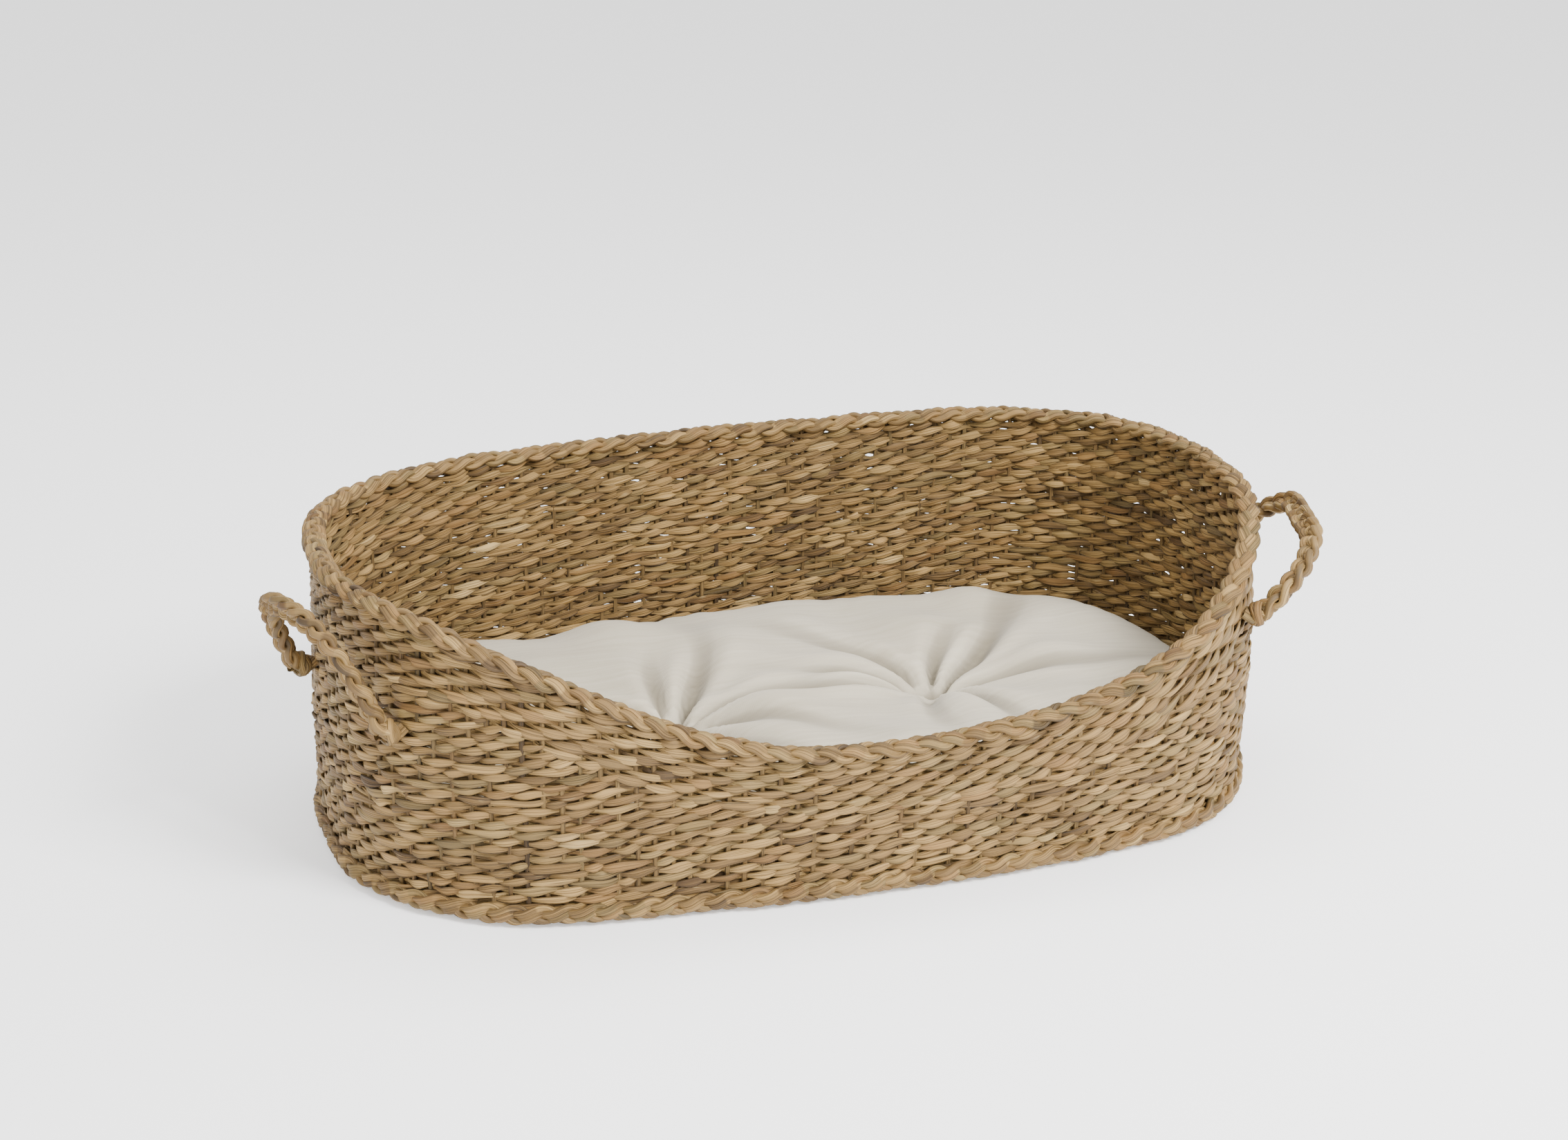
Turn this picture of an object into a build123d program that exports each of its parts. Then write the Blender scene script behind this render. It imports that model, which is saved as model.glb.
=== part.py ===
"""Oval woven seagrass pet bed: low dipped front, high back, two rope handles, loose cushion.

Frame: +X along the length, front towards -Y, +Z up, origin at the middle of the base on the floor.
"""

import os
from math import atan, atan2, copysign, cos, degrees, radians, sin, sqrt

from build123d import *

# ---------------------------------------------------------------- plan and walls, mm
HALF_LENGTH = 359.0  # middle of the base to the outside of an end wall
HALF_WIDTH = 220.0  # middle of the base to the outside of the front wall
CORNER_X = 186.0  # centre of the large arc at each corner of the oval
CORNER_Y = 34.0
CORNER_RADIUS = 171.0
WALL_THICKNESS = 12.0

# ---------------------------------------------------------------- rim line
FRONT_HEIGHT = 119.0  # top of the rim at the middle of the front
END_HEIGHT = 233.0
BACK_HEIGHT = 228.0
RIM_TILT = 5.0  # the right end stands this much higher, and the left end this much lower
LEFT_RISE_POWER = 1.2  # the dip climbs early to the left
RIGHT_RISE_POWER = 3.0  # and late to the right

# ---------------------------------------------------------------- rim band and borders
BORDER_DEPTH = 17.0  # rolled top border, measured down from the rim line
BORDER_INSETS = (-1.5, 17.5)  # its outer and inner faces, measured in from the wall's outside
CORE_DEPTHS = (5.0, 12.0)  # the turned-down stake ends inside the border
CORE_INSETS = (4.5, 11.5)
BAND_ROWS = 4
BAND_PITCH = 8.5
BAND_INSETS = (-0.5, 13.0)
FOOT_HEIGHT = 13.0
FOOT_INSETS = (-1.5, 14.5)
COURSE_SPLIT = 70.0  # full rounds of the wall end here and the short rounds start

# ---------------------------------------------------------------- base and stakes
BASE_THICKNESS = 11.0
BASE_INSET = 15.0
RIB_RADIUS = 2.0
RIB_PITCH = 34.0
RIB_COUNTS = (5, 9)  # ribs each side of the middle one, along and across
RIB_END_GAP = 6.0
LONG_RIB_HEIGHT = 3.2
CROSS_RIB_HEIGHT = 7.6
STAKE_COUNT = 152
STAKE_RADIUS = 1.9
STAKE_INSET = 6.0
STAKE_FOOT = 4.0

# ---------------------------------------------------------------- rope handles, left then right
ROPE_RADIUS = 8.0
HANDLE_HEIGHTS = (138.0, 157.0)  # height of the two roots
HANDLE_ROOTS_Y = ((-141.0, 8.0), (-150.0, 15.0))  # near and far roots along the end wall
HANDLE_RISES = (67.0, 45.0)  # degrees above level at rest
HANDLE_CORNERS = (68.0, 60.0)
HANDLE_REACHES = (77.0, 66.0)  # swing axis to the middle of the rope
HANDLE_STAND_OFF = 13.0  # swing axis to the straight line between the roots on the wall
HANDLE_TURN = 4.0  # half length of the round end that turns on the swing axis
ANCHOR_LENGTH = 15.0
ANCHOR_CLEARANCE = 0.5

# ---------------------------------------------------------------- cushion
CUSHION_INSET = 21.0  # from the wall's outer face
CUSHION_HEIGHTS = (11.5, 86.0)
CUSHION_ROUNDS = (24.0, 36.0)  # edge roundings, under and over
COVER_THICKNESS = 1.0
TUFT_RADIUS = 1.5
TUFT_SPOTS = ((-95.0, -20.0), (118.0, -10.0))
TUFT_KNOT = (6.0, 2.5)  # radius and height of the knot at each end of a tuft tie

WALL_TOP = 260.0  # height of the uncut walls
TOP = 300.0  # above everything
MARGIN = 60.0  # beyond everything sideways
CONTOUR_POINTS = 24


def smooth(t):
    """Smooth step from 0 to 1."""
    t = min(max(t, 0.0), 1.0)
    return t * t * (3 - 2 * t)


def side_radius(reach, corner_along, corner_across):
    """Radius of the shallow arc that passes the middle of a side and meets the corner arcs."""
    gap = corner_along - reach
    return (CORNER_RADIUS**2 - gap**2 - corner_across**2) / (2 * (gap + CORNER_RADIUS))


END_RADIUS = side_radius(HALF_LENGTH, CORNER_X, CORNER_Y)
FRONT_RADIUS = side_radius(HALF_WIDTH, CORNER_Y, CORNER_X)
END_TURN = degrees(atan2(CORNER_Y, CORNER_X - HALF_LENGTH + END_RADIUS))  # where the end arc stops
FRONT_TURN = degrees(atan2(CORNER_Y - HALF_WIDTH + FRONT_RADIUS, CORNER_X))  # where the front arc starts


def plan_arc(turn):
    """Centre and radius of the arc of the oval whose outward normal has this direction in degrees."""
    c, s = cos(radians(turn)), sin(radians(turn))
    folded = degrees(atan2(abs(s), abs(c)))
    if folded < END_TURN:
        return copysign(1, c) * (HALF_LENGTH - END_RADIUS), 0.0, END_RADIUS
    if folded > FRONT_TURN:
        return 0.0, copysign(1, s) * (HALF_WIDTH - FRONT_RADIUS), FRONT_RADIUS
    return copysign(CORNER_X, c), copysign(CORNER_Y, s), CORNER_RADIUS


def wall_point(turn, height, inset):
    """Point of the wall with an outward normal of this direction, inset from its outer face."""
    x, y, radius = plan_arc(turn)
    reach = radius - inset
    return Vector(x + reach * cos(radians(turn)), y + reach * sin(radians(turn)), height)


def outline_arcs(inset):
    """Arcs of the oval, inset from the wall's outer face: centre, radius, start and sweep."""
    bounds = []
    for quarter in (0, 180):
        bounds += [quarter - END_TURN, quarter + END_TURN, quarter + FRONT_TURN, quarter + 180 - FRONT_TURN]
    arcs = []
    for start, stop in zip(bounds, bounds[1:] + [bounds[0] + 360]):
        x, y, radius = plan_arc((start + stop) / 2)
        arcs.append(((x, y), radius - inset, start, stop - start))
    return arcs


def wall_direction(x):
    """Share of the wall's run that goes along X at a distance x from the middle."""
    if x < FRONT_RADIUS * cos(radians(FRONT_TURN)):
        normal = x / FRONT_RADIUS
    elif x < CORNER_X + CORNER_RADIUS * cos(radians(END_TURN)):
        normal = (x - CORNER_X) / CORNER_RADIUS
    else:
        normal = (x - HALF_LENGTH + END_RADIUS) / END_RADIUS
    return sqrt(max(1 - normal**2, 0.0))


def rim_height(x, y):
    """Height of the rim line over a plan point."""
    tilt = RIM_TILT * x / HALF_LENGTH
    if y > 0:
        return END_HEIGHT + (BACK_HEIGHT - END_HEIGHT) * smooth(y / HALF_WIDTH) + tilt
    u = min(abs(x) / HALF_LENGTH, 1.0)
    rise = smooth(u**LEFT_RISE_POWER) if x < 0 else u**RIGHT_RISE_POWER
    return FRONT_HEIGHT + (END_HEIGHT - FRONT_HEIGHT) * rise + tilt


def front_contour(depth):
    """Line that lies a perpendicular depth below the rim line, as (x, z) points along the front."""
    points = []
    step = 1.0
    for k in range(CONTOUR_POINTS + 1):
        x = HALF_LENGTH * (2 * k / CONTOUR_POINTS - 1)
        along = wall_direction(abs(x))
        slope = along * (rim_height(x + step, -1) - rim_height(x - step, -1)) / (2 * step)
        turn = atan(slope)
        points.append((x + depth * sin(turn) * along, rim_height(x, -1) - depth * cos(turn)))
    return points


def region_above(depth):
    """Everything above the line that lies a depth below the rim line."""
    front = front_contour(depth)
    left, right = front[0][1], front[-1][1]
    wide = HALF_LENGTH + MARGIN
    deep = HALF_WIDTH + MARGIN
    drop = BACK_HEIGHT - END_HEIGHT
    with BuildPart() as region:
        with BuildSketch(Plane.XZ):
            with BuildLine():
                line = Spline(*front)
                Polyline(line @ 1, (wide, right), (wide, TOP), (-wide, TOP), (-wide, left), line @ 0)
            make_face()
        extrude(amount=deep)
        for side, level in ((-1, left), (1, right)):
            tilt = side * RIM_TILT * MARGIN / HALF_LENGTH
            with BuildSketch(Plane((side * wide, 0, 0), x_dir=(0, 1, 0), z_dir=(1, 0, 0))):
                with BuildLine():
                    spots = [j * HALF_WIDTH / 6 for j in range(7)]
                    curve = Spline(*[(y, level + tilt + drop * smooth(y / HALF_WIDTH)) for y in spots])
                    Polyline(curve @ 1, (deep, level + tilt + drop), (deep, TOP), (0, TOP), curve @ 0)
                make_face()
        loft(ruled=True)
    return region.part


def wall_ring(name, low, high, insets, keep=None, removed=()):
    """One ring of the wall between two heights, cut by the regions given."""
    with BuildPart() as ring:
        for inset, mode in zip(insets, (Mode.ADD, Mode.SUBTRACT)):
            with BuildSketch(Plane.XY.offset(low)):
                with BuildLine():
                    for arc in outline_arcs(inset):
                        CenterArc(*arc)
                make_face()
            extrude(amount=high - low, mode=mode)
        if keep is not None:
            add(keep, mode=Mode.INTERSECT)
        for shape in removed:
            add(shape, mode=Mode.SUBTRACT)
    ring.part.label = name
    return ring.part


def stake_turns():
    """Wall directions of the stakes, evenly spaced round the wall."""
    steps = 7200
    turns = [360 * k / steps for k in range(steps + 1)]
    spots = [wall_point(turn, 0, STAKE_INSET) for turn in turns]
    length = [0.0]
    for a, b in zip(spots, spots[1:]):
        length.append(length[-1] + (b - a).length)
    pitch = length[-1] / STAKE_COUNT
    chosen = []
    for turn, run in zip(turns, length):
        if run >= (len(chosen) + 0.5) * pitch and len(chosen) < STAKE_COUNT:
            chosen.append(turn)
    return chosen


def stakes(name, turns):
    """Upright stakes of one side, from the foot border up to the border's core."""
    with BuildPart() as group:
        for turn in turns:
            foot = wall_point(turn, STAKE_FOOT, STAKE_INSET)
            reach = rim_height(foot.X, foot.Y) - CORE_DEPTHS[1] - STAKE_FOOT - 2 * STAKE_RADIUS
            with BuildSketch(Plane(foot)):
                Circle(STAKE_RADIUS)
            extrude(amount=reach)
    group.part.label = name
    return group.part


def side_of(turn):
    """Which wall a direction belongs to."""
    c, s = cos(radians(turn)), sin(radians(turn))
    if abs(s) > abs(c):
        return "back" if s > 0 else "front"
    return "right" if c > 0 else "left"


def rib_length(offset, across):
    """Half the inside length of the base along a rib that lies off the middle."""
    run, past = (CORNER_Y, CORNER_X) if across else (CORNER_X, CORNER_Y)
    beyond = max(abs(offset) - past, 0.0)
    return run + sqrt((CORNER_RADIUS - BASE_INSET - RIB_END_GAP) ** 2 - beyond**2)


def base_ribs(name, height, across):
    """Straight ribs inside the base mat, along X or across it."""
    count = RIB_COUNTS[1] if across else RIB_COUNTS[0]
    with BuildPart() as group:
        for k in range(-count, count + 1):
            offset = k * RIB_PITCH
            run = rib_length(offset, across)
            start = (offset, -run, height) if across else (-run, offset, height)
            with BuildSketch(Plane(start, z_dir=(0, 1, 0) if across else (1, 0, 0))):
                Circle(RIB_RADIUS)
            extrude(amount=2 * run)
    group.part.label = name
    return group.part


def base_mat():
    """Flat woven floor of the basket."""
    with BuildPart() as mat:
        with BuildSketch():
            with BuildLine():
                for arc in outline_arcs(BASE_INSET):
                    CenterArc(*arc)
            make_face()
        extrude(amount=BASE_THICKNESS)
    mat.part.label = "base_mat"
    return mat.part


def root_point(side, y):
    """Point on the outside of an end wall; side is 0 left, 1 right."""
    if abs(y) < END_RADIUS * sin(radians(END_TURN)):
        reach = HALF_LENGTH - END_RADIUS + sqrt(END_RADIUS**2 - y**2)
    else:
        reach = CORNER_X + sqrt(CORNER_RADIUS**2 - (abs(y) - CORNER_Y) ** 2)
    return Vector(reach if side else -reach, y, HANDLE_HEIGHTS[side])


def handle_frame(side):
    """Pivots, swing axis, outward direction and loop direction of a handle; side is 0 left, 1 right."""
    roots = [root_point(side, y) for y in HANDLE_ROOTS_Y[side]]
    axis = (roots[1] - roots[0]).normalized()
    outward = axis.cross(Vector(0, 0, 1 if side else -1)).normalized()
    pivots = [root + outward * HANDLE_STAND_OFF for root in roots]
    rise = radians(HANDLE_RISES[side])
    loop = outward * cos(rise) + Vector(0, 0, 1) * sin(rise)
    return pivots, axis, outward, loop


def handle_rope(name, side):
    """Free loop of one rope handle, with round ends on its swing axis."""
    (near, far), axis, _, loop = handle_frame(side)
    across = loop * HANDLE_REACHES[side]
    with BuildPart() as rope:
        with BuildLine():
            path = FilletPolyline(near, near + across, far + across, far, radius=HANDLE_CORNERS[side])
        with BuildSketch(Plane(near, x_dir=axis, z_dir=loop)):
            Circle(ROPE_RADIUS)
        sweep(path=path)
        for pivot in (near, far):
            with BuildSketch(Plane(pivot - axis * HANDLE_TURN, z_dir=axis)):
                Circle(ROPE_RADIUS)
            extrude(amount=2 * HANDLE_TURN)
    rope.part.label = name
    return rope.part


def handle_anchors(name, side):
    """Ends of one rope, fixed through the wall at the two roots."""
    pivots, _, outward, _ = handle_frame(side)
    with BuildPart() as anchors:
        for pivot in pivots:
            face = pivot - outward * (ROPE_RADIUS + ANCHOR_CLEARANCE)
            with BuildSketch(Plane(face, z_dir=outward * -1)):
                Circle(ROPE_RADIUS)
            extrude(amount=ANCHOR_LENGTH)
    anchors.part.label = name
    return anchors.part


def cushion_solid(shrink):
    """Oval pad with rounded edges, smaller all over by shrink."""
    low, high = CUSHION_HEIGHTS
    with BuildPart() as pad:
        with BuildSketch(Plane.XY.offset(low + shrink)):
            with BuildLine():
                for arc in outline_arcs(CUSHION_INSET + shrink):
                    CenterArc(*arc)
            make_face()
        extrude(amount=high - low - 2 * shrink)
        levels = pad.faces().filter_by(Plane.XY).sort_by(Axis.Z)
        fillet(levels[0].edges(), CUSHION_ROUNDS[0] - shrink)
        levels = pad.faces().filter_by(Plane.XY).sort_by(Axis.Z)
        fillet(levels[-1].edges(), CUSHION_ROUNDS[1] - shrink)
    return pad.part


def cushion_pieces():
    """Cover, filling and the two tuft ties of the loose cushion."""
    outer, inner = cushion_solid(0), cushion_solid(COVER_THICKNESS)
    low, high = CUSHION_HEIGHTS
    knot_radius, knot_height = TUFT_KNOT
    with BuildPart() as ties:
        for x, y in TUFT_SPOTS:
            with BuildSketch(Plane.XY.offset(low)):
                with Locations((x, y)):
                    Circle(TUFT_RADIUS)
            extrude(amount=high + 0.5 - low)
            with BuildSketch(Plane.XY.offset(high)):
                with Locations((x, y)):
                    Circle(knot_radius)
            extrude(amount=knot_height)
    with BuildPart() as cover:
        add(outer)
        add(inner, mode=Mode.SUBTRACT)
        add(ties.part, mode=Mode.SUBTRACT)
    with BuildPart() as filling:
        add(inner)
        add(ties.part, mode=Mode.SUBTRACT)
    cover.part.label = "cushion_cover"
    filling.part.label = "cushion_filling"
    ties.part.label = "cushion_tufts"
    return [cover.part, filling.part, ties.part]


# ---------------------------------------------------------------- the pieces
band_depths = [BORDER_DEPTH + BAND_PITCH * k for k in range(BAND_ROWS + 1)]
above = {depth: region_above(depth) for depth in [0.0, *CORE_DEPTHS, *band_depths]}

anchors = [
    handle_anchors("handle_left_anchors", 0),
    handle_anchors("handle_right_anchors", 1),
]

pieces = [base_mat()]
pieces.append(base_ribs("base_ribs_long", LONG_RIB_HEIGHT, across=False))
pieces.append(base_ribs("base_ribs_cross", CROSS_RIB_HEIGHT, across=True))
pieces.append(wall_ring("foot_border", 0.0, FOOT_HEIGHT, FOOT_INSETS))

wall_insets = (0.0, WALL_THICKNESS)
band = above[band_depths[-1]]
pieces.append(wall_ring("wall_weave_lower", FOOT_HEIGHT, COURSE_SPLIT, wall_insets, removed=[band]))
pieces.append(wall_ring("wall_weave_upper", COURSE_SPLIT, WALL_TOP, wall_insets, removed=[band, *anchors]))

low_end = FRONT_HEIGHT - band_depths[-1] - 10
for row in range(BAND_ROWS):
    upper, lower = above[band_depths[row]], above[band_depths[row + 1]]
    band = {"keep": lower, "removed": [upper]}
    pieces.append(wall_ring(f"rim_row_{row + 1}", low_end, WALL_TOP, BAND_INSETS, **band))

core_upper, core_lower = (above[depth] for depth in CORE_DEPTHS)
core = wall_ring("rim_core", low_end, WALL_TOP, CORE_INSETS, keep=core_lower, removed=[core_upper])
border_regions = {"keep": above[BORDER_DEPTH], "removed": [above[0.0], core]}
pieces.append(wall_ring("rim_border", low_end, WALL_TOP, BORDER_INSETS, **border_regions))
pieces.append(core)

for side in ("front", "back", "left", "right"):
    pieces.append(stakes(f"stakes_{side}", [t for t in stake_turns() if side_of(t) == side]))

pieces += anchors
pieces.append(handle_rope("handle_left", 0))
pieces.append(handle_rope("handle_right", 1))
pieces += cushion_pieces()

os.makedirs("parts", exist_ok=True)
for piece in pieces:
    export_step(piece, f"parts/{piece.label}.step")
    print(piece.label, len(piece.solids()), "solids", round(piece.volume / 1000, 1), "cm3", piece.is_valid)
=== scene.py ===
import math

import bpy
import numpy as np
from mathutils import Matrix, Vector


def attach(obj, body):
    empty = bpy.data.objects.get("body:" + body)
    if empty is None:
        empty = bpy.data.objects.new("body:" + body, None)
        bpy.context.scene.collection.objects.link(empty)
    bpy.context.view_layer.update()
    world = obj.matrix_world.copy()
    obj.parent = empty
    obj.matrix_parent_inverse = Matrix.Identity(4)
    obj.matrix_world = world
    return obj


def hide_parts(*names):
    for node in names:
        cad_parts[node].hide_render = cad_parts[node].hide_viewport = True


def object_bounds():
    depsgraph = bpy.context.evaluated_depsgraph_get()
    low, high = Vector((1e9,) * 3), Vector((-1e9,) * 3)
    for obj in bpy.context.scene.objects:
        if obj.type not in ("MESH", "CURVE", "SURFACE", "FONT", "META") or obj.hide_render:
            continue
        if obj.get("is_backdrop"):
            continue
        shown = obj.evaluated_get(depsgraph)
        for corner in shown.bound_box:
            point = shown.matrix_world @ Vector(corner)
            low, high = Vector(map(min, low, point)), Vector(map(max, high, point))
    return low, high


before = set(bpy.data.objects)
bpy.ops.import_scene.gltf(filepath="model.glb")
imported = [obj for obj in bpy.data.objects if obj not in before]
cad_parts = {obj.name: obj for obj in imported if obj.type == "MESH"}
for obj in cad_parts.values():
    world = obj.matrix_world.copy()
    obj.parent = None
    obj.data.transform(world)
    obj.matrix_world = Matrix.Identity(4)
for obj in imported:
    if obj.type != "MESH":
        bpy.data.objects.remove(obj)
bounds_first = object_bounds()
rng = np.random.default_rng(7)

MM = 0.001
PLAN_STEPS = 14400  # points of the wall's plan

# ---------------------------------------------------------------- plan of the wall, mm
HALF_LENGTH, HALF_WIDTH = 359.0, 220.0
CORNER_X, CORNER_Y, CORNER_RADIUS = 186.0, 34.0, 171.0
WALL_MIDDLE = 6.0  # the middle of the wall lies this far inside the outer face
WALL_TALL = 240  # height over which the ends close in and the long sides open out
RIM_FRONT, RIM_END, RIM_BACK_DROP, RIM_TILT = 119, 233, 5, 5  # rim heights and their changes
STAKES = 152


def side_radius(reach, along, across):
    """Radius of the arc that joins two corner arcs and passes through reach on its own axis."""
    gap = along - reach
    return (CORNER_RADIUS**2 - gap**2 - across**2) / (2 * (gap + CORNER_RADIUS))


END_RADIUS = side_radius(HALF_LENGTH, CORNER_X, CORNER_Y)
FRONT_RADIUS = side_radius(HALF_WIDTH, CORNER_Y, CORNER_X)
END_TURN = math.atan2(CORNER_Y, CORNER_X - HALF_LENGTH + END_RADIUS)
FRONT_TURN = math.atan2(CORNER_Y - HALF_WIDTH + FRONT_RADIUS, CORNER_X)


def plan_table():
    """Points and normals round the middle of the wall, with the running length."""
    turn = np.linspace(0, 2 * np.pi, PLAN_STEPS + 1)
    c, s = np.cos(turn), np.sin(turn)
    folded = np.arctan2(np.abs(s), np.abs(c))
    end, front = folded < END_TURN, folded > FRONT_TURN
    cx = np.where(end, np.sign(c) * (HALF_LENGTH - END_RADIUS), np.where(front, 0.0, np.sign(c) * CORNER_X))
    cy = np.where(end, 0.0, np.where(front, np.sign(s) * (HALF_WIDTH - FRONT_RADIUS), np.sign(s) * CORNER_Y))
    r = np.where(end, END_RADIUS, np.where(front, FRONT_RADIUS, CORNER_RADIUS)) - WALL_MIDDLE
    x, y = cx + r * c, cy + r * s
    run = np.concatenate([[0], np.cumsum(np.hypot(np.diff(x), np.diff(y)))])
    return run, x, y, c, s


RUN, PLAN_X, PLAN_Y, PLAN_NX, PLAN_NY = plan_table()
ROUND = RUN[-1]
PITCH = ROUND / STAKES


def plan(s):
    """Plan point and outward normal at the running length s."""
    s = np.mod(s, ROUND)
    return [np.interp(s, RUN, a) for a in (PLAN_X, PLAN_Y, PLAN_NX, PLAN_NY)]


def smooth(t):
    t = np.clip(t, 0, 1)
    return t * t * (3 - 2 * t)


def rim_height(s):
    """Height of the rim: level at the back, dipped at the front, early on the left and late on the right."""
    x, y, _, _ = plan(s)
    u = np.clip(np.abs(x) / (HALF_LENGTH - WALL_MIDDLE), 0, 1)
    rise = np.where(x < 0, smooth(u**1.2), u**3)
    front = RIM_FRONT + (RIM_END - RIM_FRONT) * rise
    back = RIM_END - RIM_BACK_DROP * smooth(y / HALF_WIDTH)
    return np.where(y > 0, back, front) + RIM_TILT * x / HALF_LENGTH


def wall(s, z, d):
    """Points of the wall in mm: s round it, z up, d outwards from its middle."""
    x, y, nx, ny = plan(s)
    z = np.asarray(z, float) * np.ones_like(x)
    t = z / WALL_TALL
    shift = np.abs(nx) * (1 - 4 * t) + np.abs(ny) * (-5 + 10 * t)
    shift = shift + 2.5 * np.sin(np.pi * np.clip(z / 190, 0, 1)) - 4 * np.clip(1 - z / 12, 0, 1) ** 2
    a = 2 * np.pi * s / ROUND
    shift = shift + 0.9 * np.sin(5 * a + 1 + z / 70) + 0.6 * np.sin(11 * a + 2 - z / 45)
    shift = shift + 0.4 * np.sin(23 * a + z / 30)
    d = d + shift
    return np.stack([x + nx * d, y + ny * d, z], -1)


def out(s):
    """The outward way of the wall at s."""
    _, _, nx, ny = plan(s)
    return np.stack([nx, ny, np.zeros_like(nx)], -1)


def level_wave(s, z):
    """How far the rows run off level, in mm."""
    a = 2 * np.pi * s / ROUND
    return 1.3 * np.sin(2 * a + 0.6) + 0.9 * np.sin(5 * a + 2.2 + z / 60) + 0.5 * np.sin(13 * a + z / 35)


# ---------------------------------------------------------------- strands
def unit(v):
    return v / np.maximum(np.linalg.norm(v, axis=-1, keepdims=True), 1e-9)


class Batch:
    """Strands that end up in one mesh."""

    def __init__(self):
        self.verts, self.quads, self.blade, self.tint, self.count = [], [], [], [], 0

    def strand(self, line, face, width, thick, tone, hue, sides=10, crease=0.0, twist=0.0, depth=1.0, groove=0.4,
               back=None):
        """A flattened strand along line (mm); face is the way its flat side looks, back the tone and hue behind."""
        line = np.asarray(line, float)
        n = len(line)
        along = unit(np.gradient(line, axis=0))
        across = unit(np.cross(face, along))
        normal = np.cross(along, across)

        def full(a):
            return np.broadcast_to(np.asarray(a, float), (n,))[:, None]

        width, thick, tone, hue, crease, twist, depth = map(full, (width, thick, tone, hue, crease, twist, depth))
        c, s = np.cos(twist), np.sin(twist)
        across, normal = across * c + normal * s, normal * c - across * s
        angle = 2 * np.pi * (np.arange(sides) + 0.5) / sides
        v = np.cos(angle)[None, :]
        t = np.sign(np.sin(angle)) * np.abs(np.sin(angle)) ** 0.6
        t = t[None, :] * (1 - groove * np.exp(-(((v - crease) / 0.24) ** 2)))
        sideways, upwards = (v * width / 2)[..., None], (t * thick / 2)[..., None]
        ring = line[:, None, :] + across[:, None, :] * sideways + normal[:, None, :] * upwards
        steps = np.linalg.norm(np.diff(line, axis=0), axis=1)
        u = np.concatenate([[0], np.cumsum(steps)])[:, None] + rng.random() * 1000
        seed = rng.random()
        self.verts.append(ring.reshape(-1, 3) * MM)
        one = np.ones((n, sides))
        tone, hue = tone * one, hue * one
        if back is not None:
            hidden = np.sin(angle)[None, :] < 0
            tone, hue = np.where(hidden, full(back[0]), tone), np.where(hidden, full(back[1]), hue)
        self.blade.append(np.stack([u * MM * one, v * one, seed * one], -1).reshape(-1, 3))
        # depth rides with the tone for the material's painted shade: a lower depth paints the strand darker
        self.tint.append(np.stack([tone, hue, depth * one], -1).reshape(-1, 3))
        i = (np.arange(n - 1) * sides)[:, None] + self.count
        j = np.arange(sides)[None, :]
        k = (j + 1) % sides
        self.quads.append(np.stack([i + j, i + sides + j, i + sides + k, i + k], -1).reshape(-1, 4))
        self.count += n * sides

    def build(self, name, material, body, slot):
        """One mesh of all strands so far, riding on a body."""
        verts, quads = np.concatenate(self.verts), np.concatenate(self.quads)
        mesh = bpy.data.meshes.new(name)
        mesh.vertices.add(len(verts))
        mesh.vertices.foreach_set("co", verts.ravel())
        mesh.loops.add(quads.size)
        mesh.loops.foreach_set("vertex_index", quads.ravel())
        mesh.polygons.add(len(quads))
        mesh.polygons.foreach_set("loop_start", np.arange(0, quads.size, 4))
        mesh.update(calc_edges=True)
        mesh.polygons.foreach_set("use_smooth", np.ones(len(quads), bool))
        for key, data in (("blade", self.blade), ("tint", self.tint)):
            layer = mesh.attributes.new(key, "FLOAT_VECTOR", "POINT")
            layer.data.foreach_set("vector", np.concatenate(data).ravel())
        mesh.validate()
        obj = bpy.data.objects.new(name, mesh)
        bpy.context.scene.collection.objects.link(obj)
        mesh.materials.append(material)
        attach(obj, body)
        return obj


def each_float(values, turn, behind=0):
    """One value for each stretch of strand that shows: turn counts half turns, even ones in front."""
    i = 2 * np.round((turn - behind) / 2).astype(int) + behind
    return values[np.mod(i, len(values))]


def between_knots(values, s):
    """Values at evenly spaced knots round the basket, joined smoothly."""
    q = s / ROUND * len(values) - 0.5
    i = np.floor(q).astype(int)
    f = smooth(q - i)
    return values[np.mod(i, len(values))] * (1 - f) + values[np.mod(i + 1, len(values))] * f


def runs(mask):
    """Stretches of a closed round where mask holds, as index ranges that may pass the seam."""
    n = len(mask)
    if mask.all():
        return [(0, n)]
    starts = [i for i in range(n) if mask[i] and not mask[i - 1]]
    found = []
    for i in starts:
        j = i
        while mask[j % n]:
            j += 1
        found.append((i, j - 1))
    return found


def tones(shape):
    """Tone and hue of single blades: mostly straw, some dark, some pale."""
    tone = np.clip(rng.normal(0.50, 0.14, shape), 0.05, 0.88)
    return tone, rng.random(shape)


# ---------------------------------------------------------------- materials
def material(name):
    mat = bpy.data.materials.new(name)
    mat.use_nodes = True
    nodes, links = mat.node_tree.nodes, mat.node_tree.links
    return mat, nodes, links, nodes["Principled BSDF"]


def add(nodes, kind, inputs=(), **settings):
    """A node with its input values and settings."""
    node = nodes.new(kind)
    for key, value in settings.items():
        setattr(node, key, value)
    for key, value in dict(inputs).items():
        node.inputs[key].default_value = value
    return node


def math_node(nodes, links, operation, a, b=None, c=None):
    """A math node; each operand is a number or a socket."""
    node = nodes.new("ShaderNodeMath")
    node.operation = operation
    for i, value in enumerate((a, b, c)):
        if value is None:
            continue
        if isinstance(value, (int, float)):
            node.inputs[i].default_value = value
        else:
            links.new(value, node.inputs[i])
    return node.outputs[0]


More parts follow.
